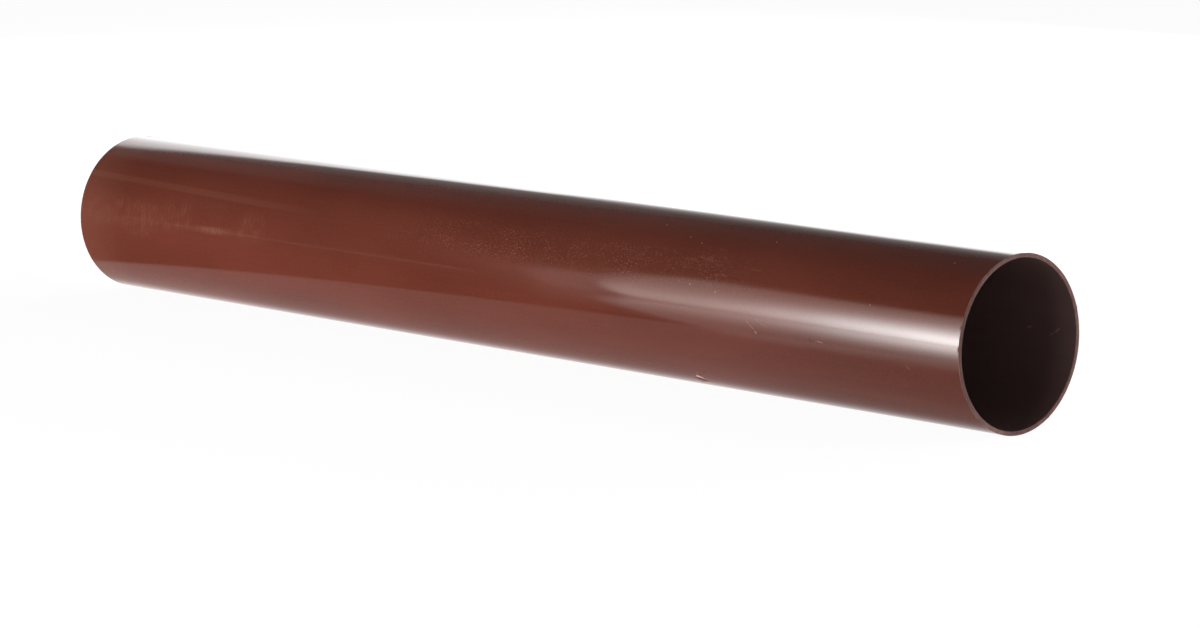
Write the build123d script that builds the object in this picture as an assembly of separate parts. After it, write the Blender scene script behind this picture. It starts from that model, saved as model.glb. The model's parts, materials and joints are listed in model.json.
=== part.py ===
"""Round rainwater downpipe: one straight length of extruded pipe with plain, square-cut ends.

The pipe lies on a level floor along X. The origin is on the floor under the middle of the pipe, and +Z is up.
All sizes are in millimetres.
"""

import os

from build123d import *

# Driving dimensions
OUTER_DIAMETER = 80.0  # the nominal size of the downpipe, over the outside of its wall
WALL = 2.0  # thickness of the extruded wall
LENGTH = 613.0  # from cut end to cut end
EDGE_BREAK = 0.3  # bevel that deburring leaves on the outer and inner edge of each cut

# Worked out from the driving dimensions
OUTER_RADIUS = OUTER_DIAMETER / 2
BORE_RADIUS = OUTER_RADIUS - WALL
FLOOR_TO_AXIS = OUTER_RADIUS  # the pipe rests on the lowest line of its outside
EDGE_BREAK_SHARE = 0.4  # the two bevels of one cut never meet across the wall
edge_break = min(EDGE_BREAK, EDGE_BREAK_SHARE * WALL)


def make_section():
    """The ring that the die extrudes, upright across the pipe and centred on its length."""
    across = Plane.YZ.offset(-LENGTH / 2)
    middle = across.shift_origin(across.from_local_coords(Vector(0, FLOOR_TO_AXIS, 0)))
    return middle * (Circle(OUTER_RADIUS) - Circle(BORE_RADIUS))


def make_downpipe():
    """The ring drawn out to the pipe's length, cut square and deburred at both ends."""
    tube = extrude(make_section(), amount=LENGTH)
    cut_edges = tube.edges().filter_by(GeomType.CIRCLE)
    return chamfer(cut_edges, edge_break)


os.makedirs("parts", exist_ok=True)
export_step(make_downpipe(), "parts/downpipe.step")
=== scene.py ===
"""The looks of the downpipe: a gloss brown PVC tube, saw-cut at both ends, lying on a pale studio floor.

Sizes are in metres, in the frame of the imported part: the pipe lies along X, the near end is at +X,
and +Z is up. A place on the wall is its distance from the near end in millimetres, and its angle from
the top in degrees, counted towards -Y, which is the side that faces the camera.
"""

import json
import math

import bpy
import numpy as np
from mathutils import Matrix, Vector, noise


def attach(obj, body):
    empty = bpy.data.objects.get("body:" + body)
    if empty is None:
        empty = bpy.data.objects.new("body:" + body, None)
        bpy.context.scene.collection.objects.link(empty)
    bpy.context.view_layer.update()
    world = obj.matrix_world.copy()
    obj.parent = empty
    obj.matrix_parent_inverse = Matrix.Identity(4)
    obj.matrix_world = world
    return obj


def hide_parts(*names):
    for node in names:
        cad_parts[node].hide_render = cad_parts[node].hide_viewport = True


NODE = "downpipe"
MM = 0.001

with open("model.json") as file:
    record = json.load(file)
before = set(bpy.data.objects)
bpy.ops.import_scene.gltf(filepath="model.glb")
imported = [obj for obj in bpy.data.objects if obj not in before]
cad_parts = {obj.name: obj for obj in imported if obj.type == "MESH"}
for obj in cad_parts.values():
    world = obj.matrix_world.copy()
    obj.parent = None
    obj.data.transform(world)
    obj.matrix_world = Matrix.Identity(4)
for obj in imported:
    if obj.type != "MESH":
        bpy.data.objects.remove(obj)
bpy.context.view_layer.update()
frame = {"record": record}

# Sizes read from the frame
mounts = {mount["name"]: mount for mount in frame["record"]["mounts"]}
OUTER_RADIUS = mounts["outer_wall"]["dims"]["r_mm"] * MM
BORE_RADIUS = mounts["bore"]["dims"]["r_mm"] * MM
AXIS_HEIGHT = mounts["bore"]["pos_m"][2]
NEAR_END = mounts["end_face_plus_x"]["pos_m"][0]
FAR_END = mounts["end_face_minus_x"]["pos_m"][0]
LENGTH = NEAR_END - FAR_END
WALL = OUTER_RADIUS - BORE_RADIUS
ARC_PER_DEGREE = math.radians(OUTER_RADIUS / MM)  # millimetres along the outside


# The mesh of the pipe

SEGMENTS = 480
EDGE_RADIUS = 0.3 * MM
EDGE_STEPS = 4
FACE_STEPS = 5
WALL_STEP = 7.0 * MM
BORE_STEP = 25.0 * MM
RIM_STEPS = (0.3 * MM, 0.7 * MM, 1.3 * MM, 2.4 * MM)  # rings beside each cut

# The gouge low on the front, where the wall is torn
GOUGE_PLACE = (173.0, 147.0)
GOUGE_X = NEAR_END - GOUGE_PLACE[0] * MM
GOUGE_ANGLE = math.radians(GOUGE_PLACE[1])
GOUGE_STEP = 0.6 * MM
GOUGE_REACH = 9.0 * MM
PIT_DEPTH = 0.45 * MM
PIT_SIZE = (2.2 * MM, 0.9 * MM)  # along and across the wall, as in the next ones
PIT_SLANT = (0.4, 0.2)
LIP_HEIGHT = 0.35 * MM
LIP_PLACE = (1.0 * MM, 2.3 * MM)  # from the middle of the pit
LIP_SIZE = (2.6 * MM, 0.8 * MM)
TAIL_PLACE = (-3.4 * MM, 4.6 * MM)  # the lip's tail
TAIL_SIZE = (1.2 * MM, 1.6 * MM)
TAIL_SHARE = 0.5  # of the lip's height

# Long, shallow waves that cooling leaves in the wall: height, wavelength along X, waves around, phase
WAVES = (
    (0.010 * MM, 83.0 * MM, 2, 0.4),
    (0.006 * MM, 47.0 * MM, 3, 2.1),
    (0.003 * MM, 29.0 * MM, 1, 4.0),
)

# Burrs that the saw left on the near outer edge: angle from the top, width and height
BURRS = (
    (86.9, 1.1 * MM, 0.60 * MM),
    (73.5, 1.0 * MM, 0.35 * MM),
    (53.3, 1.1 * MM, 0.40 * MM),
    (-72.0, 1.0 * MM, 0.30 * MM),
    (-150.0, 0.9 * MM, 0.25 * MM),
)
BURR_REACH = 0.45 * MM  # how far from the edge a burr starts

# The unevenness of the saw cuts: broad and fine noise, each with its share and how fine it is
CUT_UNEVENNESS = 0.06 * MM
CUT_BROAD_SHARE = 0.7
CUT_BROAD_SCALE = 9.0
CUT_FINE_SHARE = 0.3
CUT_FINE_SCALE = 31.0
CUTS_APART = 3.0  # sets the noise of the two ends apart

OUTSIDE, CUT, BORE = range(3)


def wall_stations():
    """Places along the outer wall, close together at the gouge and beside the cuts."""
    first = FAR_END + EDGE_RADIUS
    last = NEAR_END - EDGE_RADIUS
    coarse = np.linspace(first, last, round((last - first) / WALL_STEP) + 1)
    clear_of_gouge = np.abs(coarse - GOUGE_X) > GOUGE_REACH + GOUGE_STEP
    fine = np.arange(GOUGE_X - GOUGE_REACH, GOUGE_X + GOUGE_REACH, GOUGE_STEP)
    rims = [first + step for step in RIM_STEPS] + [last - step for step in RIM_STEPS]
    return np.sort(np.concatenate([coarse[clear_of_gouge], fine, rims]))


def near_cut():
    """Profile points (x, radius) of the near cut, from its outer edge to its inner edge."""
    points = []
    for step in range(1, EDGE_STEPS + 1):
        turn = math.pi / 2 * step / EDGE_STEPS
        x = NEAR_END - EDGE_RADIUS * (1 - math.sin(turn))
        points.append((x, OUTER_RADIUS - EDGE_RADIUS * (1 - math.cos(turn))))
    flat = WALL - 2 * EDGE_RADIUS
    for step in range(1, FACE_STEPS):
        points.append((NEAR_END, OUTER_RADIUS - EDGE_RADIUS - flat * step / FACE_STEPS))
    for step in range(EDGE_STEPS):
        turn = math.pi / 2 * step / EDGE_STEPS
        x = NEAR_END - EDGE_RADIUS * (1 - math.cos(turn))
        points.append((x, BORE_RADIUS + EDGE_RADIUS * (1 - math.sin(turn))))
    return points


def pipe_profile():
    """The closed outline that is turned about the axis, and which region follows each of its points."""
    wall = [(x, OUTER_RADIUS) for x in wall_stations()]
    cut = near_cut()
    first = FAR_END + EDGE_RADIUS
    last = NEAR_END - EDGE_RADIUS
    coarse = np.linspace(first, last, round((last - first) / BORE_STEP) + 1)
    rims = [first + step for step in RIM_STEPS] + [last - step for step in RIM_STEPS]
    bore = [(x, BORE_RADIUS) for x in np.sort(np.concatenate([coarse, rims]))[::-1]]
    far_cut = [(FAR_END + NEAR_END - x, radius) for x, radius in reversed(cut)]
    points = wall + cut + bore + far_cut
    regions = [OUTSIDE] * (len(wall) - 1) + [CUT] * (len(cut) + 1)
    regions += [BORE] * (len(bore) - 1) + [CUT] * (len(far_cut) + 1)
    return points, regions


def turned(angle, centre):
    """How far an angle is past a centre, between -pi and pi."""
    return (angle - centre + math.pi) % (2 * math.pi) - math.pi


def hump(distance, width):
    """A smooth hump of height 1 that falls away over about its width."""
    return np.exp(-((distance / width) ** 2))


def swelling(along, across, place, size):
    """A hump on the wall at a place, of a size along and across."""
    return hump(along - place[0], size[0]) * hump(across - place[1], size[1])


def wall_height(x, angle):
    """How far the outer wall stands out from a true cylinder."""
    height = np.zeros_like(angle)
    for size, wavelength, around, phase in WAVES:
        wave = np.sin(2 * math.pi * x / wavelength + phase) * np.cos(around * angle + phase)
        height += size * (wave - 1)
    along = x - GOUGE_X
    across = OUTER_RADIUS * turned(angle, GOUGE_ANGLE)
    slant_along = along + PIT_SLANT[0] * across
    slant_across = across - PIT_SLANT[1] * along
    pit = hump(slant_along, PIT_SIZE[0]) * hump(slant_across, PIT_SIZE[1])
    lip = swelling(along, across, LIP_PLACE, LIP_SIZE)
    tail = swelling(along, across, TAIL_PLACE, TAIL_SIZE)
    return height - PIT_DEPTH * pit + LIP_HEIGHT * (lip + TAIL_SHARE * tail)


def cut_depth(radius, angle, end):
    """How far a saw-cut face lies inside its true plane."""
    depth = np.zeros_like(angle)
    for i, a in enumerate(angle):
        place = Vector((math.cos(a), math.sin(a), CUTS_APART * end)) * (radius / OUTER_RADIUS)
        broad = CUT_BROAD_SHARE * noise.noise(place * CUT_BROAD_SCALE)
        fine = CUT_FINE_SHARE * noise.noise(place * CUT_FINE_SCALE)
        depth[i] = 1 + broad + fine
    return CUT_UNEVENNESS * depth


def burr_height(angle):
    """How far burrs stand out around the near outer edge."""
    height = np.zeros_like(angle)
    for centre, width, size in BURRS:
        height += size * hump(OUTER_RADIUS * turned(angle, math.radians(centre)), width / 2)
    return height


def pipe_vertices(points, regions):
    """One ring of vertices for each profile point."""
    angle = 2 * math.pi * np.arange(SEGMENTS) / SEGMENTS
    rings = []
    for i, (x, radius) in enumerate(points):
        beside = (regions[i], regions[i - 1])
        end = 1.0 if x > 0 else -1.0
        ring_x = np.full(SEGMENTS, x)
        ring_radius = np.full(SEGMENTS, radius)
        if OUTSIDE in beside:
            ring_radius = ring_radius + wall_height(x, angle)
        if CUT in beside:
            ring_x = ring_x - end * cut_depth(radius, angle, end)
        from_edge = max(NEAR_END - x, OUTER_RADIUS - radius)
        if from_edge < BURR_REACH:
            ring_radius = ring_radius + (1 - from_edge / BURR_REACH) * burr_height(angle)
        y = -ring_radius * np.sin(angle)
        z = AXIS_HEIGHT + ring_radius * np.cos(angle)
        rings.append(np.stack([ring_x, y, z], axis=1))
    return np.concatenate(rings)


def pipe_faces(count):
    """Quads between each ring and the next, closed both ways round."""
    ring, step = np.meshgrid(np.arange(count), np.arange(SEGMENTS), indexing="ij")
    next_ring = (ring + 1) % count
    next_step = (step + 1) % SEGMENTS
    corners = [
        ring * SEGMENTS + step,
        ring * SEGMENTS + next_step,
        next_ring * SEGMENTS + next_step,
        next_ring * SEGMENTS + step,
    ]
    return np.stack(corners, axis=-1).reshape(-1, 4)


# Bands of the texture map: left, right, bottom and top shares of the square
WALL_BAND = (0.002, 0.998, 0.002, 0.640)
BORE_BAND = (0.002, 0.998, 0.650, 0.900)
NEAR_CUT_BAND = (0.002, 0.495, 0.910, 0.998)
FAR_CUT_BAND = (0.505, 0.998, 0.910, 0.998)


def map_band(region, x):
    """The band of the texture map that a region fills."""
    if region == OUTSIDE:
        return WALL_BAND
    if region == BORE:
        return BORE_BAND
    return NEAR_CUT_BAND if x > 0 else FAR_CUT_BAND


def pipe_map(points, regions):
    """Texture places of each face's four corners: each wall unrolled flat, each cut as a strip."""
    count = len(points)
    travel = [0.0]
    for i in range(count):
        here = Vector(points[i])
        travel.append(travel[-1] + (Vector(points[(i + 1) % count]) - here).length)
    starts = [i for i in range(count) if i == 0 or regions[i] != regions[i - 1]]
    stops = starts[1:] + [count]
    first = np.arange(SEGMENTS)
    around = np.stack([first, first + 1, first + 1, first], axis=1) / SEGMENTS
    places = []
    for start, stop in zip(starts, stops):
        left, right, bottom, top = map_band(regions[start], points[start][0])
        span = travel[stop] - travel[start]
        for i in range(start, stop):
            before = (travel[i] - travel[start]) / span
            after = (travel[i + 1] - travel[start]) / span
            across = np.broadcast_to(np.array([before, before, after, after]), around.shape)
            u, v = (around, across) if regions[start] == CUT else (across, around)
            places.append(np.stack([left + (right - left) * u, bottom + (top - bottom) * v], axis=-1))
    return np.concatenate(places).reshape(-1, 2)


def make_pipe(materials):
    """The dressed pipe: one closed mesh with a wall, a bore and two saw-cut ends."""
    points, regions = pipe_profile()
    mesh = bpy.data.meshes.new("pipe")
    mesh.from_pydata(pipe_vertices(points, regions).tolist(), [], pipe_faces(len(points)).tolist())
    for material in materials:
        mesh.materials.append(material)
    mesh.polygons.foreach_set("material_index", np.repeat(regions, SEGMENTS).astype(np.int32))
    layer = mesh.uv_layers.new(name="OFBake")
    layer.uv.foreach_set("vector", pipe_map(points, regions).astype(np.float32).ravel())
    mesh.shade_smooth()
    mesh.update()
    piece = bpy.data.objects.new("pipe", mesh)
    bpy.context.scene.collection.objects.link(piece)
    return piece


# Materials

WHITE = (1.0, 1.0, 1.0, 1.0)
BLACK = (0.0, 0.0, 0.0, 1.0)
SPECK_SPREAD = 0.5  # the smallest speck is smaller by this share
SPECK_SOFT = 0.3  # the share of a speck over which its edge fades
SPECK_FAINTEST = 0.35
STROKE_FULL = 0.25  # a stroke is full up to this share of its width from its line, and gone at the next
STROKE_GONE = 0.75
MIX_FIRST, MIX_SECOND, MIX_RESULT = 6, 7, 2  # the colour sockets of a Mix node


class Graph:
    """The nodes of one material, with short calls for the ones used here."""

    def __init__(self, name):
        self.material = bpy.data.materials.new(name)
        self.material.use_nodes = True
        self.tree = self.material.node_tree
        self.tree.nodes.clear()

    def add(self, kind, **settings):
        node = self.tree.nodes.new(kind)
        for key, value in settings.items():
            setattr(node, key, value)
        return node

    def feed(self, socket, value):
        """Links a socket to another, or sets its value."""
        if isinstance(value, bpy.types.NodeSocket):
            self.tree.links.new(value, socket)
        else:
            socket.default_value = value

    def math(self, operation, *values):
        node = self.add("ShaderNodeMath", operation=operation)
        for socket, value in zip(node.inputs, values):
            self.feed(socket, value)
        return node.outputs[0]

    def vector(self, operation, *values, output="Vector"):
        node = self.add("ShaderNodeVectorMath", operation=operation)
        for socket, value in zip(node.inputs, values):
            self.feed(socket, value)
        return node.outputs[output]

    def total(self, *values):
        result = values[0]
        for value in values[1:]:
            result = self.math("ADD", result, value)
        return result

    def product(self, *values):
        result = values[0]
        for value in values[1:]:
            result = self.math("MULTIPLY", result, value)
        return result

    def weighted(self, *terms):
        """The sum of values that are each given with a weight."""
        return self.total(*[self.math("MULTIPLY", value, weight) for value, weight in terms])

    def highest(self, *values):
        result = values[0]
        for value in values[1:]:
            result = self.math("MAXIMUM", result, value)
        return result

    def object_place(self):
        return self.add("ShaderNodeTexCoord").outputs["Object"]

    def split(self, place):
        node = self.add("ShaderNodeSeparateXYZ")
        self.feed(node.inputs[0], place)
        return node.outputs["X"], node.outputs["Y"], node.outputs["Z"]

    def noise(self, place, scale, detail=3.0, roughness=0.5):
        """Soft noise about 0.5, at a scale for each axis."""
        node = self.add("ShaderNodeTexNoise")
        self.feed(node.inputs["Vector"], self.vector("MULTIPLY", place, scale))
        node.inputs["Scale"].default_value = 1.0
        node.inputs["Detail"].default_value = detail
        node.inputs["Roughness"].default_value = roughness
        return node.outputs[0]

    def specks(self, flat, spacing, radius, share):
        """Round specks on the unrolled wall, in a share of its cells, each of its own strength."""
        node = self.add("ShaderNodeTexVoronoi", voronoi_dimensions="2D")
        self.feed(node.inputs["Vector"], flat)
        node.inputs["Scale"].default_value = 1.0 / spacing
        chance, strength, size = self.split(node.outputs["Color"])
        reach = radius / spacing
        edge = self.math("MULTIPLY_ADD", size, -SPECK_SPREAD * reach, reach)
        inside = self.math("SUBTRACT", edge, node.outputs["Distance"])
        spot = self.step(inside, 0.0, SPECK_SOFT * reach)
        there = self.math("LESS_THAN", chance, share)
        return self.product(spot, there, self.step(strength, 0.0, 1.0, SPECK_FAINTEST, 1.0))

    def step(self, value, low, high, to_low=0.0, to_high=1.0, shape="SMOOTHSTEP"):
        """A change from to_low to to_high as the value goes from low to high."""
        node = self.add("ShaderNodeMapRange", interpolation_type=shape)
        self.feed(node.inputs["Value"], value)
        node.inputs["From Min"].default_value = low
        node.inputs["From Max"].default_value = high
        node.inputs["To Min"].default_value = to_low
        node.inputs["To Max"].default_value = to_high
        return node.outputs[0]

    def window(self, value, low, high, soft):
        """1 between low and high, fading to 0 over soft on each side."""
        rise = self.step(value, low - soft, low)
        fall = self.step(value, high, high + soft, 1.0, 0.0)
        return self.math("MULTIPLY", rise, fall)

    def stroke(self, flat, start, stop, width):
        """A straight mark on the unrolled wall between two wall places."""
        first = Vector((start[0], start[1] * ARC_PER_DEGREE, 0.0))
        run = Vector((stop[0], stop[1] * ARC_PER_DEGREE, 0.0)) - first
        offset = self.vector("SUBTRACT", flat, first)
        along = self.vector("DOT_PRODUCT", offset, run.normalized(), output="Value")
        along = self.math("MINIMUM", self.math("MAXIMUM", along, 0.0), run.length)
        foot = self.add("ShaderNodeVectorMath", operation="SCALE")
        foot.inputs[0].default_value = run.normalized()
        self.feed(foot.inputs["Scale"], along)
        distance = self.vector("DISTANCE", offset, foot.outputs[0], output="Value")
        return self.step(distance, STROKE_FULL * width, STROKE_GONE * width, 1.0, 0.0)

    def marks(self, flat, strokes):
        """Several strokes together, each given by its two places, its width and its strength."""
        each = [self.product(self.stroke(flat, *stroke[:3]), stroke[3]) for stroke in strokes]
        return self.highest(*each)

    def mix(self, share, first, second):
        """Two colours mixed by a share."""
        node = self.add("ShaderNodeMix", data_type="RGBA")
        self.feed(node.inputs[0], share)
        self.feed(node.inputs[MIX_FIRST], first)
        self.feed(node.inputs[MIX_SECOND], second)
        return node.outputs[MIX_RESULT]

    def bump(self, height, depth):
        """A normal bent by a height, of which 1 stands for the given depth in metres."""
        node = self.add("ShaderNodeBump")
        node.inputs["Distance"].default_value = depth
        self.feed(node.inputs["Height"], height)
        return node.outputs[0]

    def surface(self, **inputs):
        """Ends the material in one Principled shader, with its inputs given by name."""
        node = self.add("ShaderNodeBsdfPrincipled")
        for key, value in inputs.items():
            self.feed(node.inputs[key.replace("_", " ")], value)
        output = self.add("ShaderNodeOutputMaterial")
        self.feed(output.inputs["Surface"], node.outputs["BSDF"])
        return self.material

    def light(self, glow, colour=WHITE):
        """Ends the material in plain light of the given strength."""
        node = self.add("ShaderNodeEmission")
        self.feed(node.inputs["Color"], colour)
        self.feed(node.inputs["Strength"], glow)
        output = self.add("ShaderNodeOutputMaterial")
        self.feed(output.inputs["Surface"], node.outputs["Emission"])
        return self.material


def wall_places(graph, place):
    """Distance from the near end, angle from the top, and both as a flat place in millimetres."""
    x, y, z = graph.split(place)
    along = graph.math("MULTIPLY", graph.math("SUBTRACT", NEAR_END, x), 1 / MM)
    towards_camera = graph.math("MULTIPLY", y, -1.0)
    above_axis = graph.math("SUBTRACT", z, AXIS_HEIGHT)
    angle = graph.math("DEGREES", graph.math("ARCTAN2", towards_camera, above_axis))
    join = graph.add("ShaderNodeCombineXYZ")
    graph.feed(join.inputs["X"], along)
    graph.feed(join.inputs["Y"], graph.math("MULTIPLY", angle, ARC_PER_DEGREE))
    return along, angle, join.outputs[0]


PVC_IOR = 1.5
DARK_BROWN = (0.104, 0.0250, 0.0152, 1.0)
LIGHT_BROWN = (0.150, 0.0372, 0.0232, 1.0)
DUST_COLOUR = (0.42, 0.185, 0.115, 1.0)
SCUFF_COLOUR = (0.30, 0.140, 0.095, 1.0)
SCRATCH_COLOUR = (0.48, 0.30, 0.25, 1.0)
TORN_COLOUR = (0.66, 0.46, 0.43, 1.0)
STAIN_COLOUR = (0.035, 0.010, 0.007, 1.0)

# Scratches on the front of the wall: first and last place, width in millimetres, and strength
SCRATCHES = (
    ((126.5, 89.4), (121.8, 94.2), 0.42, 0.30),
    ((121.0, 95.4), (120.4, 96.3), 0.90, 0.50),
    ((121.0, 87.3), (113.5, 91.7), 0.45, 0.09),
    ((83.7, 95.3), (79.5, 95.9), 0.55, 0.35),
    ((31.1, 102.2), (29.5, 104.1), 0.50, 0.30),
    ((170.5, 138.4), (172.4, 142.7), 0.60, 0.20),
    ((174.0, 153.8), (160.3, 151.4), 0.55, 0.30),
    ((171.0, 160.0), (158.0, 160.6), 0.80, 0.30),
)
# Dark marks, in the same way
DARK_MARKS = (
    ((87.3, 93.8), (87.4, 96.8), 0.60, 0.60),
    ((176.5, 154.5), (170.0, 158.0), 1.20, 0.60),
)
TORN = ((172.4, 144.0), (171.2, 145.4), 2.2)
# Places of single large specks of dust, and short rows of it in the way of the scratches
LARGE_SPECKS = (
    (197.2, 29.3),
    (176.9, 37.4),
    (167.8, 41.2),
    (126.1, 31.2),
    (54.4, 67.5),
    (164.0, 71.2),
    (147.5, 74.0),
    (54.2, 15.0),
    (21.6, 28.0),
)
DUST_ROWS = (
    ((172.0, 54.2), (165.7, 53.9), 1.0, 0.9),
    ((162.1, 51.7), (155.6, 53.7), 1.5, 0.9),
    ((155.0, 43.9), (150.1, 44.7), 1.2, 0.6),
    ((151.8, 62.5), (142.9, 62.4), 1.0, 0.8),
    ((129.8, 55.2), (124.6, 55.8), 1.2, 0.8),
)
# Groups of short rubs near the far end, also in that way, a streak among them and the rub line above them
RUBS = (
    ((601.0, 81.0), (584.0, 79.0), 17.0, 0.75),
    ((571.0, 83.5), (557.0, 82.0), 17.0, 1.00),
    ((539.0, 78.0), (529.0, 77.0), 15.0, 0.70),
    ((506.0, 71.0), (501.0, 70.0), 10.0, 0.40),
    ((478.0, 78.5), (470.0, 78.0), 13.0, 0.75),
)
RUB_STREAK = ((524.0, 84.7), (486.0, 83.9), 3.4)
RUB_LINE = ((612.0, 53.4), (420.0, 61.0), 3.4)
RUB_STREAK_ALONG = (500.0, 508.0, 16.0)  # where it shows: from, to, and the width over which it fades
RUB_LINE_ALONG = (490.0, 620.0, 80.0)
RUB_LINE_STRENGTH = 0.23
RUB_HAZE = 0.16
RUBBED_END = (574.0, 612.0, 0.0, 0.30)  # the wall is rubbed all over at the far end: a step along it

# Where dust lies: from, to, and the width over which it fades, in degrees or in millimetres
THICK_DUST_AROUND = (53.0, 68.0, 13.0)
THICK_DUST_ALONG = (160.0, 325.0, 70.0)
THIN_DUST_AROUND = (-60.0, 80.0, 40.0)
DUST_FILM_AROUND = (46.0, 70.0, 14.0)
DUST_FILM_ALONG = (30.0, 230.0, 70.0)
# Its specks: spacing and radius in millimetres, and the share of cells that hold one
FINE_SPECKS = (0.62, 0.28, 0.55)
SPARSE_SPECKS = (3.4, 0.38, 0.30)
LARGE_SPECK_WIDTH = 0.75
LARGE_SPECK_LENGTH = 0.01
FINE_STRENGTH = 0.75
SPARSE_STRENGTH = 0.55
ROW_STRENGTH = 0.55

# How fine each noise is: per millimetre along and around the flat wall
CLUMP_SCALE = (0.055, 0.09, 1.0)
BREAK_SCALE = (0.8, 2.2, 1.0)
RUB_SCALE = (1.3, 0.11, 1.0)
PATCH_SCALE = (0.16, 0.20, 1.0)
# Steps of each noise: from and to, and what these become if not 0 and 1
THICK_CLUMPS = (0.25, 0.60, 0.30, 1.0)
THIN_CLUMPS = (0.38, 0.70)
ROW_BREAKS = (0.44, 0.58)
RUB_PATCHES = (0.22, 0.70)
RUB_STROKES = (0.42, 0.78)
STREAK_STROKES = (0.35, 0.65, 0.12, 0.55)


def dust_on_wall(graph, along, angle, flat):
    """Dust on the upper front of the wall: its specks, where it is thick, and where it is only a film."""
    clumps = graph.noise(flat, CLUMP_SCALE, detail=4.0, roughness=0.6)
    upper = graph.window(angle, *THICK_DUST_AROUND)
    middle = graph.window(along, *THICK_DUST_ALONG)
    thick = graph.product(upper, middle, graph.step(clumps, *THICK_CLUMPS))
    thin = graph.product(graph.window(angle, *THIN_DUST_AROUND), graph.step(clumps, *THIN_CLUMPS))
    fine = graph.product(graph.specks(flat, *FINE_SPECKS), thick, FINE_STRENGTH)
    sparse = graph.product(graph.specks(flat, *SPARSE_SPECKS), thin, SPARSE_STRENGTH)
    broken = graph.step(graph.noise(flat, BREAK_SCALE, detail=2.0), *ROW_BREAKS)
    rows = graph.product(graph.marks(flat, DUST_ROWS), broken, ROW_STRENGTH)
    marks = [fine, sparse, rows]
    for along_at, angle_at in LARGE_SPECKS:
        stop = (along_at + LARGE_SPECK_LENGTH, angle_at)
        marks.append(graph.stroke(flat, (along_at, angle_at), stop, LARGE_SPECK_WIDTH))
    film_around = graph.window(angle, *DUST_FILM_AROUND)
    film = graph.product(film_around, graph.window(along, *DUST_FILM_ALONG))
    return graph.highest(*marks), thick, film


def scuffs_on_wall(graph, along, flat):
    """Short pale rubs across the wall near the far end, and a faint rub line along it."""
    strokes = graph.noise(flat, RUB_SCALE, detail=2.0, roughness=0.6)
    patches = graph.noise(flat, PATCH_SCALE, detail=2.0)
    groups = graph.product(graph.marks(flat, RUBS), graph.step(patches, *RUB_PATCHES))
    rubs = graph.product(graph.step(strokes, *RUB_STROKES), groups)
    haze = graph.product(groups, RUB_HAZE)
    streak = graph.product(graph.stroke(flat, *RUB_STREAK), graph.window(along, *RUB_STREAK_ALONG))
    streak = graph.product(streak, graph.step(strokes, *STREAK_STROKES))
    line = graph.product(graph.stroke(flat, *RUB_LINE), graph.window(along, *RUB_LINE_ALONG))
    line = graph.product(line, RUB_LINE_STRENGTH)
    end = graph.step(along, *RUBBED_END)
    return graph.highest(rubs, streak, graph.total(haze, line, end))


# Noise in the plastic: per metre in space, but flow lines per millimetre on the flat wall
CLOUD_SCALE = (9.0, 30.0, 30.0)
FLOW_SCALE = (0.005, 0.75, 1.0)
GRAIN_SCALE = (850.0, 850.0, 850.0)
CLOUD_SHARE = 0.55  # of the tone
FLOW_SHARE = 0.15
GRAIN_SHARE = 0.30
TONE_RANGE = (0.25, 0.75)  # the tone goes from the dark to the light colour between these
SCRATCH_GRAIN = (0.35, 0.60, 0.35, 1.0)  # the grain breaks up the scratches
SCUFF_COVER = 0.45  # how much of the plastic's colour each kind of wear hides
DUST_COVER = 0.40
FILM_COVER = 0.018
TORN_COVER = 0.9
PVC_ROUGHNESS = (0.3, 0.7, 0.055, 0.085)  # a step of the cloud
DUSTY_ROUGHNESS = 0.03  # added by each kind of wear
SCUFF_ROUGHNESS = 0.10
SPECK_ROUGHNESS = 0.35
RELIEF = 0.012 * MM
FLOW_RELIEF = 0.12  # shares of the relief
GRAIN_RELIEF = 0.05
DUST_RELIEF = 0.4
SCRATCH_RELIEF = -1.2


def pvc_material():
    """The outside: extruded brown PVC, with flow lines, dust, scuffs, a few scratches and the gouge."""
    graph = Graph("brown_pvc")
    place = graph.object_place()
    along, angle, flat = wall_places(graph, place)
    cloud = graph.noise(place, CLOUD_SCALE)
    flow = graph.noise(flat, FLOW_SCALE, roughness=0.65)
    grain = graph.noise(place, GRAIN_SCALE, detail=2.0)
    tone = graph.weighted((cloud, CLOUD_SHARE), (flow, FLOW_SHARE), (grain, GRAIN_SHARE))
    dust, dusty, film = dust_on_wall(graph, along, angle, flat)
    scuffs = scuffs_on_wall(graph, along, flat)
    scratches = graph.product(graph.marks(flat, SCRATCHES), graph.step(grain, *SCRATCH_GRAIN))
    stains = graph.marks(flat, DARK_MARKS)
    torn = graph.stroke(flat, *TORN)
    colour = graph.mix(graph.step(tone, *TONE_RANGE), DARK_BROWN, LIGHT_BROWN)
    colour = graph.mix(graph.product(scuffs, SCUFF_COVER), colour, SCUFF_COLOUR)
    colour = graph.mix(graph.weighted((dust, DUST_COVER), (film, FILM_COVER)), colour, DUST_COLOUR)
    colour = graph.mix(stains, colour, STAIN_COLOUR)
    colour = graph.mix(scratches, colour, SCRATCH_COLOUR)
    colour = graph.mix(graph.product(torn, TORN_COVER), colour, TORN_COLOUR)
    wear = graph.weighted(
        (dusty, DUSTY_ROUGHNESS),
        (scuffs, SCUFF_ROUGHNESS),
        (graph.highest(dust, torn), SPECK_ROUGHNESS),
    )
    rough = graph.total(graph.step(cloud, *PVC_ROUGHNESS), wear)
    height = graph.weighted(
        (flow, FLOW_RELIEF),
        (grain, GRAIN_RELIEF),
        (dust, DUST_RELIEF),
        (graph.highest(scratches, stains), SCRATCH_RELIEF),
    )
    normal = graph.bump(height, RELIEF)
    return graph.surface(Base_Color=colour, Roughness=rough, IOR=PVC_IOR, Normal=normal)


BORE_DARK = (0.142, 0.084, 0.077, 1.0)
BORE_LIGHT = (0.170, 0.099, 0.091, 1.0)
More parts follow.
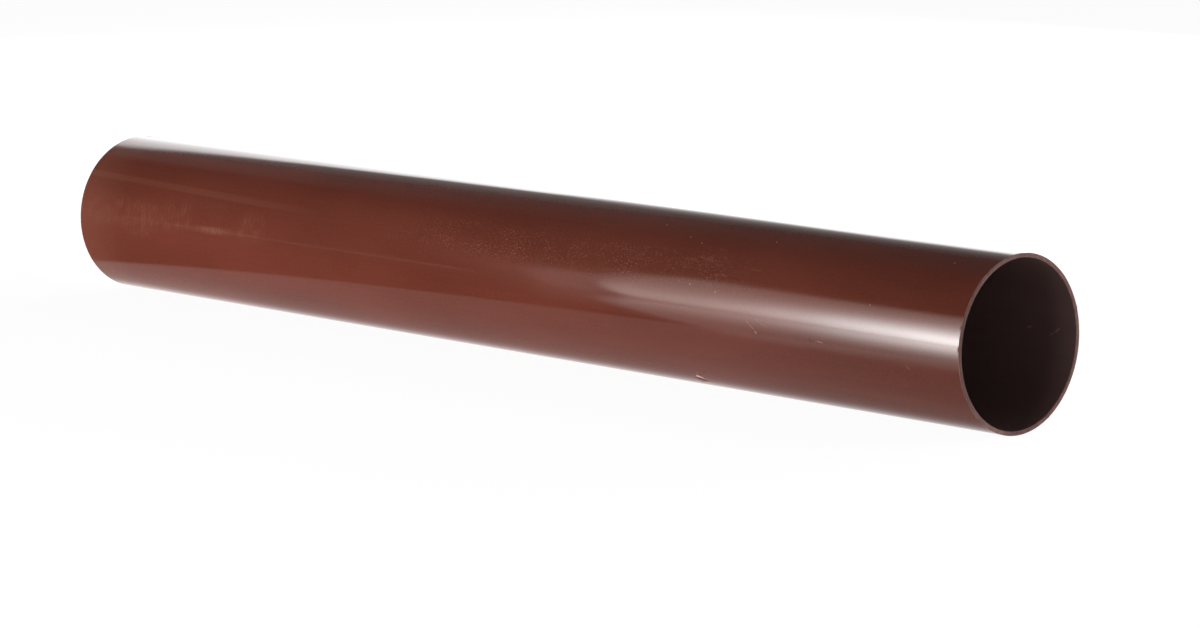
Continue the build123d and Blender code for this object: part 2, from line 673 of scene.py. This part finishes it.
# Scratches inside the mouth, given like those on the wall
BORE_SCRATCHES = (
    ((28.0, -89.6), (25.8, -88.6), 0.7, 0.45),
    ((12.0, -90.0), (10.2, -87.6), 0.7, 0.55),
    ((14.8, -92.6), (13.4, -91.2), 0.6, 0.35),
)
# Noise, shares, roughness and relief as on the outside
BORE_CLOUD_SCALE = (12.0, 45.0, 45.0)
BORE_FLOW_SCALE = (0.006, 0.6, 1.0)
BORE_CLOUD_SHARE = 0.6
BORE_FLOW_SHARE = 0.4
BORE_ROUGHNESS = (0.3, 0.7, 0.32, 0.45)
BORE_RELIEF = 0.004 * MM


def bore_material():
    """The inside: the same PVC under a thin film of dust, with a few short scratches near the mouth."""
    graph = Graph("brown_pvc_bore")
    place = graph.object_place()
    _, _, flat = wall_places(graph, place)
    cloud = graph.noise(place, BORE_CLOUD_SCALE)
    flow = graph.noise(flat, BORE_FLOW_SCALE, roughness=0.65)
    tone = graph.weighted((cloud, BORE_CLOUD_SHARE), (flow, BORE_FLOW_SHARE))
    colour = graph.mix(graph.step(tone, *TONE_RANGE), BORE_DARK, BORE_LIGHT)
    colour = graph.mix(graph.marks(flat, BORE_SCRATCHES), colour, SCRATCH_COLOUR)
    rough = graph.step(cloud, *BORE_ROUGHNESS)
    normal = graph.bump(flow, BORE_RELIEF)
    return graph.surface(Base_Color=colour, Roughness=rough, IOR=PVC_IOR, Normal=normal)


CUT_DARK = (0.27, 0.125, 0.107, 1.0)
CUT_LIGHT = (0.50, 0.260, 0.225, 1.0)
CUT_PAINTED_SHADE = (0.10, 0.036, 0.030, 1.0)  # painted shade: the cut is darker on the -Y side, which faces the camera
PAINTED_SHADE_COVER = 0.50
PAINTED_SHADE_REACH = 0.3  # the painted shade ends at this share of the radius
# Noise in space, shares, tone, roughness and relief as on the outside
MOTTLE_SCALE = (300.0, 260.0, 260.0)
SAW_SCALE = (60.0, 2300.0, 260.0)
MOTTLE_SHARE = 0.6
SAW_SHARE = 0.4
CUT_TONE_RANGE = (0.34, 0.66)
CUT_ROUGHNESS = (0.3, 0.7, 0.50, 0.66)
CUT_RELIEF = 0.05 * MM


def cut_material():
    """The saw-cut ends: matt, mottled and paler than the wall, with fine marks of the saw across them,
    and painted shade on their -Y side.
    """
    graph = Graph("saw_cut_pvc")
    place = graph.object_place()
    mottle = graph.noise(place, MOTTLE_SCALE, detail=4.0, roughness=0.6)
    saw = graph.noise(place, SAW_SCALE)
    tone = graph.weighted((mottle, MOTTLE_SHARE), (saw, SAW_SHARE))
    _, y, _ = graph.split(place)
    # painted shade: the cut face darkens towards -Y, the side that faces the camera
    painted_shade = graph.step(y, -OUTER_RADIUS, -PAINTED_SHADE_REACH * OUTER_RADIUS, PAINTED_SHADE_COVER, 0.0)
    colour = graph.mix(graph.step(tone, *CUT_TONE_RANGE), CUT_DARK, CUT_LIGHT)
    colour = graph.mix(painted_shade, colour, CUT_PAINTED_SHADE)
    rough = graph.step(mottle, *CUT_ROUGHNESS)
    normal = graph.bump(tone, CUT_RELIEF)
    return graph.surface(Base_Color=colour, Roughness=rough, IOR=PVC_IOR, Normal=normal)


# The studio

FLOOR_SIZE = 60.0
FLOOR_COLOUR = (0.8, 0.8, 0.8, 1.0)
FLOOR_SEEN_SHADE = (0.25, 0.25, 0.25, 1.0)  # the part of the seen floor that keeps light and shadow
FLOOR_SEEN_GLOW = 0.95  # the rest of its white


def floor_material():
    """A pale floor. What the camera and mirroring surfaces see of it is lifted to white."""
    graph = Graph("floor")
    path = graph.add("ShaderNodeLightPath").outputs
    seen = graph.highest(path["Is Camera Ray"], path["Is Glossy Ray"], path["Is Transmission Ray"])
    plain = graph.add("ShaderNodeBsdfDiffuse")
    plain.inputs["Color"].default_value = FLOOR_COLOUR
    shade = graph.add("ShaderNodeBsdfDiffuse")
    shade.inputs["Color"].default_value = FLOOR_SEEN_SHADE
    glow = graph.add("ShaderNodeEmission")
    glow.inputs["Strength"].default_value = FLOOR_SEEN_GLOW
    white = graph.add("ShaderNodeAddShader")
    graph.feed(white.inputs[0], shade.outputs[0])
    graph.feed(white.inputs[1], glow.outputs[0])
    either = graph.add("ShaderNodeMixShader")
    graph.feed(either.inputs[0], seen)
    graph.feed(either.inputs[1], plain.outputs[0])
    graph.feed(either.inputs[2], white.outputs[0])
    output = graph.add("ShaderNodeOutputMaterial")
    graph.feed(output.inputs["Surface"], either.outputs[0])
    return graph.material


def plane(name, corners, material):
    """A flat thing of the studio."""
    mesh = bpy.data.meshes.new(name)
    mesh.from_pydata(corners, [], [(0, 1, 2, 3)])
    mesh.materials.append(material)
    thing = bpy.data.objects.new(name, mesh)
    bpy.context.scene.collection.objects.link(thing)
    return thing


def unseen(thing):
    """Hides a thing of the studio from the camera."""
    thing.visible_camera = False
    return thing


def gloss_only(thing):
    """Leaves a card of the studio to the gloss of the object: it sheds no light and no shadow."""
    thing.visible_diffuse = False
    thing.visible_shadow = False
    return unseen(thing)


def make_floor():
    half = FLOOR_SIZE / 2
    corners = [(-half, -half, 0), (half, -half, 0), (half, half, 0), (-half, half, 0)]
    return plane("floor", corners, floor_material())


# The gloss sheet in front of the pipe, which the lower half of the pipe mirrors: a painted reflection,
# whose glow stands for a lit floor near the pipe and a dark room beyond
SHEET_BACK = -0.006  # it starts under the pipe
SHEET_FRONT = -3.0
SHEET_LEFT = -4.0
SHEET_RIGHT = 2.0
SHEET_HEIGHT = 0.0003
SHEET_ROUGHNESS = 0.10
SHEET_IOR = 1.3
SHEET_EDGE_AT_FAR_END = -0.0375  # where its pale strip ends, in front of each end of the pipe
SHEET_EDGE_AT_NEAR_END = -0.137
SHEET_EDGE_SOFT = 0.002
# painted light: the glow of the strip, as a lit floor would show in the pipe's gloss
SHEET_STRIP_GLOW = 0.35
SHEET_FAR_STRIP_GLOW = 0.46  # the strip's painted glow is brighter in front of the far end, and as above from the next on
SHEET_FAR_GLOW_TO = -0.06
SHEET_DIM_FROM = 0.12  # from here on it dims, to the next share at the near end
SHEET_DIM_SHARE = 0.80
SHEET_DARK_SHARE = 0.02  # of the strip's light is left beyond its edge
SHEET_WHITE_FROM = -0.021  # from here to the next its painted glow brightens to white, under the pipe
SHEET_WHITE_TO = -0.007
POOL_GLOW = 0.54  # a pool of light on the sheet, in front of the near half of the pipe
POOL_FRONT = -0.317
POOL_LEFT_AT_FRONT = -0.19
POOL_CURVE = 0.24  # its left edge bends towards the near end as it nears the pipe
POOL_SOFT = 0.012
POOL_FADE_FROM = -0.112  # it fades out on its way to the pipe
POOL_FADE_TO = -0.075


def sheet_material():
    """A strip along the pipe with a painted glow, as of a lit floor, dark beyond it but for a pool of
    light.

    Its gloss mirrors the key light.
    """
    graph = Graph("sheet")
    x, y, _ = graph.split(graph.object_place())
    slope = (SHEET_EDGE_AT_NEAR_END - SHEET_EDGE_AT_FAR_END) / LENGTH
    edge = graph.math("MULTIPLY_ADD", graph.math("SUBTRACT", x, FAR_END), slope, SHEET_EDGE_AT_FAR_END)
    within = graph.math("SUBTRACT", y, edge)
    strip = graph.product(
        graph.step(within, -SHEET_EDGE_SOFT, SHEET_EDGE_SOFT, SHEET_DARK_SHARE, 1.0),
        graph.step(x, FAR_END, SHEET_FAR_GLOW_TO, SHEET_FAR_STRIP_GLOW, SHEET_STRIP_GLOW),
        graph.step(x, SHEET_DIM_FROM, NEAR_END, 1.0, SHEET_DIM_SHARE),
    )
    white = graph.step(y, SHEET_WHITE_FROM, SHEET_WHITE_TO, 0.0, 1.0 - SHEET_STRIP_GLOW)
    nearness = graph.math("LOGARITHM", graph.math("DIVIDE", POOL_FRONT, y), math.e)
    left = graph.math("MULTIPLY_ADD", nearness, POOL_CURVE, POOL_LEFT_AT_FRONT)
    pool = graph.step(graph.math("SUBTRACT", x, left), -POOL_SOFT, POOL_SOFT, 0.0, POOL_GLOW)
    pool = graph.product(pool, graph.step(y, POOL_FADE_FROM, POOL_FADE_TO, 1.0, 0.0))
    return graph.surface(
        Base_Color=BLACK,
        Roughness=SHEET_ROUGHNESS,
        IOR=SHEET_IOR,
        Emission_Color=WHITE,
        Emission_Strength=graph.total(strip, white, pool),
    )


def make_sheet():
    corners = [
        (SHEET_LEFT, SHEET_FRONT, SHEET_HEIGHT),
        (SHEET_RIGHT, SHEET_FRONT, SHEET_HEIGHT),
        (SHEET_RIGHT, SHEET_BACK, SHEET_HEIGHT),
        (SHEET_LEFT, SHEET_BACK, SHEET_HEIGHT),
    ]
    return gloss_only(plane("sheet", corners, sheet_material()))


# White cards behind and to the left, which the top of the pipe mirrors, on walls that fade upwards
CARD_TOP = 0.36
CARD_LEFT = -0.70
CARD_BACK = 0.63
CARD_RIGHT = 0.60
CARD_FRONT = 0.02
CARD_GLOW = 2.4
LEFT_CARD_SOFT = 0.032  # half the height over which the top of the left card fades
LEFT_CARD_SLOPE = 0.07  # its top rises towards the back, and is level with the other here
LEFT_CARD_LEVEL_AT = 0.30
LEFT_CARD_CORNER_SLOPE = 0.73  # its lower front corner is cut off: it glows where y plus this share of z
LEFT_CARD_CORNER_FROM = 0.37  # is more than this, and fully from the next on
LEFT_CARD_CORNER_TO = 0.41
BACK_CARD_SOFT = 0.060  # the same for the back card, at its right
BACK_CARD_SAG = 0.072  # its top sags by this towards the left, between these places
BACK_CARD_SAG_FROM = -0.38
BACK_CARD_SAG_TO = -0.54
BACK_CARD_RISE_FROM = -0.60  # and rises again from here to the corner
BACK_CARD_SOFTENS = 0.5  # where it sags, it is softer by this share of the sag
WALL_TOP = 1.6
WALL_EVEN = 0.075
WALL_GLOW = 0.46  # more light right above a card
WALL_REACH = 0.20  # which falls to about a third over this height
WALL_DIM_FROM = 0.60  # the left wall is dimmer towards the front
WALL_DIM_TO = 0.08
WALL_DIM_SHARE = 0.30
BACK_WALL_GLOW = 0.30  # yet more light close above the back card
BACK_WALL_REACH = 0.12


def fading(graph, above, reach):
    """1 up to the top of a card, and falling to about a third over the reach above it."""
    fall = graph.math("EXPONENT", graph.math("MULTIPLY", above, -1.0 / reach))
    return graph.math("MINIMUM", fall, 1.0)


def left_card_material():
    """A white card with a soft, sloping top, and the dim wall above it."""
    graph = Graph("left_card")
    _, y, z = graph.split(graph.object_place())
    past_level = graph.math("SUBTRACT", y, LEFT_CARD_LEVEL_AT)
    top = graph.math("MULTIPLY_ADD", past_level, LEFT_CARD_SLOPE, CARD_TOP)
    above = graph.math("SUBTRACT", z, top)
    dim = graph.step(y, WALL_DIM_TO, WALL_DIM_FROM, WALL_DIM_SHARE * WALL_GLOW, WALL_GLOW)
    wall = graph.product(fading(graph, above, WALL_REACH), dim)
    card = graph.step(above, -LEFT_CARD_SOFT, LEFT_CARD_SOFT, CARD_GLOW - WALL_GLOW, 0.0)
    corner = graph.math("MULTIPLY_ADD", z, LEFT_CARD_CORNER_SLOPE, y)
    card = graph.product(card, graph.step(corner, LEFT_CARD_CORNER_FROM, LEFT_CARD_CORNER_TO))
    return graph.light(graph.total(wall, card, WALL_EVEN))


def back_card_material():
    """A white card with a soft top that sags on the left, and the dim wall above it."""
    graph = Graph("back_card")
    x, _, z = graph.split(graph.object_place())
    above = graph.math("SUBTRACT", z, CARD_TOP)
    wall = graph.product(fading(graph, above, WALL_REACH), WALL_GLOW)
    close = graph.product(fading(graph, above, BACK_WALL_REACH), BACK_WALL_GLOW)
    sag = graph.step(x, BACK_CARD_SAG_TO, BACK_CARD_SAG_FROM, BACK_CARD_SAG, 0.0)
    sag = graph.product(sag, graph.step(x, CARD_LEFT, BACK_CARD_RISE_FROM))
    soft = graph.math("MULTIPLY_ADD", sag, BACK_CARD_SOFTENS, BACK_CARD_SOFT)
    past = graph.math("DIVIDE", graph.total(above, sag), soft)
    card = graph.step(past, -1.0, 1.0, CARD_GLOW - WALL_GLOW - BACK_WALL_GLOW, 0.0)
    return graph.light(graph.total(wall, close, card, WALL_EVEN))


def make_cards():
    left_corners = [
        (CARD_LEFT, CARD_FRONT, 0.0),
        (CARD_LEFT, CARD_BACK, 0.0),
        (CARD_LEFT, CARD_BACK, WALL_TOP),
        (CARD_LEFT, CARD_FRONT, WALL_TOP),
    ]
    back_corners = [
        (CARD_LEFT, CARD_BACK, 0.0),
        (CARD_RIGHT, CARD_BACK, 0.0),
        (CARD_RIGHT, CARD_BACK, WALL_TOP),
        (CARD_LEFT, CARD_BACK, WALL_TOP),
    ]
    gloss_only(plane("left_card", left_corners, left_card_material()))
    gloss_only(plane("back_card", back_corners, back_card_material()))


# The key light: a soft box low in front on the left, which leans over the floor
KEY_FOOT = -1.10
KEY_LEAN = 0.20
KEY_LAMP_COLOUR = (1.0, 0.97, 0.96, 1.0)
KEY_CLOTH_COLOUR = (1.0, 0.83, 0.79, 1.0)
KEY_FLAP_COLOUR = (1.0, 0.70, 0.65, 1.0)
KEY_LEFT = -1.10
KEY_RIGHT = -0.38
KEY_BOTTOM = 0.0005
KEY_TOP = 0.77
KEY_FADE = 0.19  # height over which its top edge fades
KEY_CORE_LEFT = -0.585  # the lamp behind its cloth is a level tube
KEY_CORE_RIGHT = -0.38
KEY_CORE_HEIGHT = 0.09
KEY_REACH = 0.143  # over this height above or below the tube the light falls to about two thirds
KEY_REACH_BESIDE = 0.087  # and over this distance beside it
KEY_HOT = 16.2
KEY_EVEN = 1.05
KEY_LOW = 2.1  # more light all along the lower cloth, brightest at this height, with this reach
KEY_LOW_HEIGHT = 0.10
KEY_LOW_REACH = 0.12
KEY_LAMP_FROM = 0.05  # the cloth takes on the lamp's colour between these shares of the tube's light
KEY_LAMP_TO = 0.40
KEY_SEAM = -0.961  # left of this is a dim flap
KEY_SEAM_SOFT = 0.01
KEY_EDGE = 0.6  # more light beside the seam, which falls off over the next width
KEY_EDGE_REACH = 0.17
KEY_FLAP_GLOW = 1.05
KEY_FLAP_TOP = 0.50
KEY_FLAP_LEFT = -0.08  # left of this place, counted from the seam, it fades over the next width
KEY_FLAP_SOFT = 0.03


def key_material():
    """Cloth that glows evenly, and brightest along the lamp behind it."""
    graph = Graph("key")
    x, _, z = graph.split(graph.object_place())
    half = (KEY_CORE_RIGHT - KEY_CORE_LEFT) / 2
    from_middle = graph.math("ABSOLUTE", graph.math("SUBTRACT", x, KEY_CORE_LEFT + half))
    beside = graph.math("MAXIMUM", graph.math("SUBTRACT", from_middle, half), 0.0)
    beside = graph.math("MULTIPLY", beside, 1.0 / KEY_REACH_BESIDE)
    above = graph.math("MULTIPLY", graph.math("SUBTRACT", z, KEY_CORE_HEIGHT), 1.0 / KEY_REACH)
    squares = graph.total(graph.math("MULTIPLY", beside, beside), graph.math("MULTIPLY", above, above))
    fall = graph.math("DIVIDE", 1.0, graph.math("COSH", graph.math("SQRT", squares)))
    from_low = graph.math("MULTIPLY", graph.math("SUBTRACT", z, KEY_LOW_HEIGHT), 1.0 / KEY_LOW_REACH)
    low = graph.math("DIVIDE", 1.0, graph.math("COSH", from_low))
    past_seam = graph.math("SUBTRACT", x, KEY_SEAM)
    edge = graph.step(past_seam, 0.0, KEY_EDGE_REACH, KEY_EDGE, 0.0)
    glow = graph.total(graph.product(fall, KEY_HOT), graph.product(low, KEY_LOW), edge, KEY_EVEN)
    glow = graph.product(glow, graph.step(z, KEY_TOP - KEY_FADE, KEY_TOP, 1.0, 0.0))
    glow = graph.product(glow, graph.step(past_seam, 0.0, KEY_SEAM_SOFT))
    flap = graph.step(past_seam, -2 * KEY_SEAM_SOFT, -KEY_SEAM_SOFT, KEY_FLAP_GLOW, 0.0)
    flap = graph.product(flap, graph.step(past_seam, KEY_FLAP_LEFT - KEY_FLAP_SOFT, KEY_FLAP_LEFT))
    flap = graph.product(flap, graph.step(z, KEY_FLAP_TOP - KEY_FADE, KEY_FLAP_TOP, 1.0, 0.0))
    lamp = graph.step(fall, KEY_LAMP_FROM, KEY_LAMP_TO)
    colour = graph.mix(lamp, KEY_CLOTH_COLOUR, KEY_LAMP_COLOUR)
    colour = graph.mix(graph.step(past_seam, -KEY_SEAM_SOFT, 0.0), KEY_FLAP_COLOUR, colour)
    return graph.light(graph.total(glow, flap), colour)


def make_key():
    foot = KEY_FOOT + KEY_LEAN * KEY_BOTTOM
    head = KEY_FOOT + KEY_LEAN * KEY_TOP
    corners = [
        (KEY_LEFT, foot, KEY_BOTTOM),
        (KEY_LEFT, head, KEY_TOP),
        (KEY_RIGHT, head, KEY_TOP),
        (KEY_RIGHT, foot, KEY_BOTTOM),
    ]
    return unseen(plane("key", corners, key_material()))


# The bounce: a glow just over the floor in front of the pipe, which lights its lower half
BOUNCE_HEIGHT = 0.001
BOUNCE_LEFT = -0.95
BOUNCE_RIGHT = 0.36
BOUNCE_FRONT = -0.31
BOUNCE_BACK = -0.009
BOUNCE_GLOW = 1.06
BOUNCE_STRIP = 0.5  # how much brighter it is right beside the pipe
BOUNCE_STRIP_FROM = -0.045
BOUNCE_STRIP_TO = -0.020
BOUNCE_DIM_FROM = -0.08  # it dims towards the near end
BOUNCE_DIM_SHARE = 0.43


def bounce_material():
    """Light from the upper side only, dimmer towards the near end and brightest beside the pipe."""
    graph = Graph("bounce")
    x, y, _ = graph.split(graph.object_place())
    dimmest = BOUNCE_GLOW * BOUNCE_DIM_SHARE
    glow = graph.step(x, BOUNCE_DIM_FROM, NEAR_END, BOUNCE_GLOW, dimmest, shape="LINEAR")
    under = graph.add("ShaderNodeNewGeometry").outputs["Backfacing"]
    strip = graph.step(y, BOUNCE_STRIP_FROM, BOUNCE_STRIP_TO, 1.0, 1.0 + BOUNCE_STRIP)
    return graph.light(graph.product(glow, strip, graph.math("SUBTRACT", 1.0, under)))


def make_bounce():
    corners = [
        (BOUNCE_LEFT, BOUNCE_FRONT, BOUNCE_HEIGHT),
        (BOUNCE_RIGHT, BOUNCE_FRONT, BOUNCE_HEIGHT),
        (BOUNCE_RIGHT, BOUNCE_BACK, BOUNCE_HEIGHT),
        (BOUNCE_LEFT, BOUNCE_BACK, BOUNCE_HEIGHT),
    ]
    bounce = unseen(plane("bounce", corners, bounce_material()))
    bounce.visible_glossy = False
    bounce.visible_shadow = False
    return bounce


# Soft fills: name, centre, target, width, height, radiance, and whether gloss mirrors them
PIPE_MIDDLE = (0.0, 0.0, AXIS_HEIGHT)
FILLS = (
    ("front_fill", (0.16, -1.10, 0.10), (0.16, 0.0, 0.10), 0.76, 0.18, 11.0, True),
    ("upper_fill", (-0.55, -0.55, 0.75), (FAR_END, 0.0, AXIS_HEIGHT), 0.4, 0.4, 1.2, False),
    ("left_fill", (-1.40, 0.50, 0.60), PIPE_MIDDLE, 1.0, 0.9, 1.25, False),
    ("back_fill", (1.50, 1.20, 1.20), PIPE_MIDDLE, 1.0, 0.8, 1.7, True),
    ("right_fill", (1.75, -1.00, 0.40), PIPE_MIDDLE, 0.9, 0.6, 1.5, True),
    ("rear_fill", (0.0, 1.50, 0.30), PIPE_MIDDLE, 1.6, 0.5, 6.5, False),
)


def softbox(name, centre, target, width, height, radiance):
    """A rectangular soft light that faces the target."""
    light = bpy.data.lights.new(name, "AREA")
    light.shape = "RECTANGLE"
    light.size = width
    light.size_y = height
    light.energy = radiance * math.pi * width * height
    thing = bpy.data.objects.new(name, light)
    facing = Vector(target) - Vector(centre)
    thing.matrix_world = Matrix.Translation(centre) @ facing.to_track_quat("-Z", "Y").to_matrix().to_4x4()
    bpy.context.scene.collection.objects.link(thing)
    return unseen(thing)


def make_lights():
    make_key()
    make_bounce()
    for name, centre, target, width, height, radiance, mirrored in FILLS:
        fill = softbox(name, centre, target, width, height, radiance)
        fill.visible_glossy = mirrored


WORLD_COLOUR = (0.03, 0.03, 0.03, 1.0)


def make_world():
    """A dark room, which only the camera sees as white. The pipe mirrors the studio's cards instead."""
    world = bpy.data.worlds.new("studio")
    world.use_nodes = True
    nodes = world.node_tree.nodes
    links = world.node_tree.links
    room = nodes["Background"]
    room.inputs["Color"].default_value = WORLD_COLOUR
    white = nodes.new("ShaderNodeBackground")
    white.inputs["Color"].default_value = WHITE
    path = nodes.new("ShaderNodeLightPath")
    either = nodes.new("ShaderNodeMixShader")
    links.new(path.outputs["Is Camera Ray"], either.inputs[0])
    links.new(room.outputs[0], either.inputs[1])
    links.new(white.outputs[0], either.inputs[2])
    links.new(either.outputs[0], nodes["World Output"].inputs["Surface"])
    bpy.context.scene.world = world


# The camera

IMAGE_WIDTH = 1200
FOCAL_PIXELS = 4437.0
SENSOR_WIDTH = 36.0
CAMERA_TURN = math.radians(45.98)  # to the right of the view along +Y
CAMERA_RISE = math.radians(8.86)
# The centre of the near end, right of, above and ahead of the camera
NEAR_CENTRE_SEEN = Vector((0.18192, -0.01324, 1.92132))


def make_camera():
    right = Vector((math.cos(CAMERA_TURN), math.sin(CAMERA_TURN), 0.0))
    level = Vector((-math.sin(CAMERA_TURN), math.cos(CAMERA_TURN), 0.0))
    ahead = level * math.cos(CAMERA_RISE) - Vector((0.0, 0.0, math.sin(CAMERA_RISE)))
    above = right.cross(ahead)
    seen = NEAR_CENTRE_SEEN
    place = Vector((NEAR_END, 0.0, AXIS_HEIGHT)) - right * seen.x - above * seen.y - ahead * seen.z
    data = bpy.data.cameras.new("camera")
    data.sensor_fit = "HORIZONTAL"
    data.sensor_width = SENSOR_WIDTH
    data.lens = SENSOR_WIDTH * FOCAL_PIXELS / IMAGE_WIDTH
    camera = bpy.data.objects.new("camera", data)
    camera.matrix_world = Matrix.Translation(place) @ Matrix((right, above, -ahead)).transposed().to_4x4()
    bpy.context.scene.collection.objects.link(camera)
    bpy.context.scene.camera = camera


pipe = make_pipe([pvc_material(), cut_material(), bore_material()])
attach(pipe, "root")
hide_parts(NODE)
make_floor()
make_sheet()
make_cards()
make_lights()
make_world()
make_camera()
bpy.context.scene.view_settings.view_transform = "Standard"
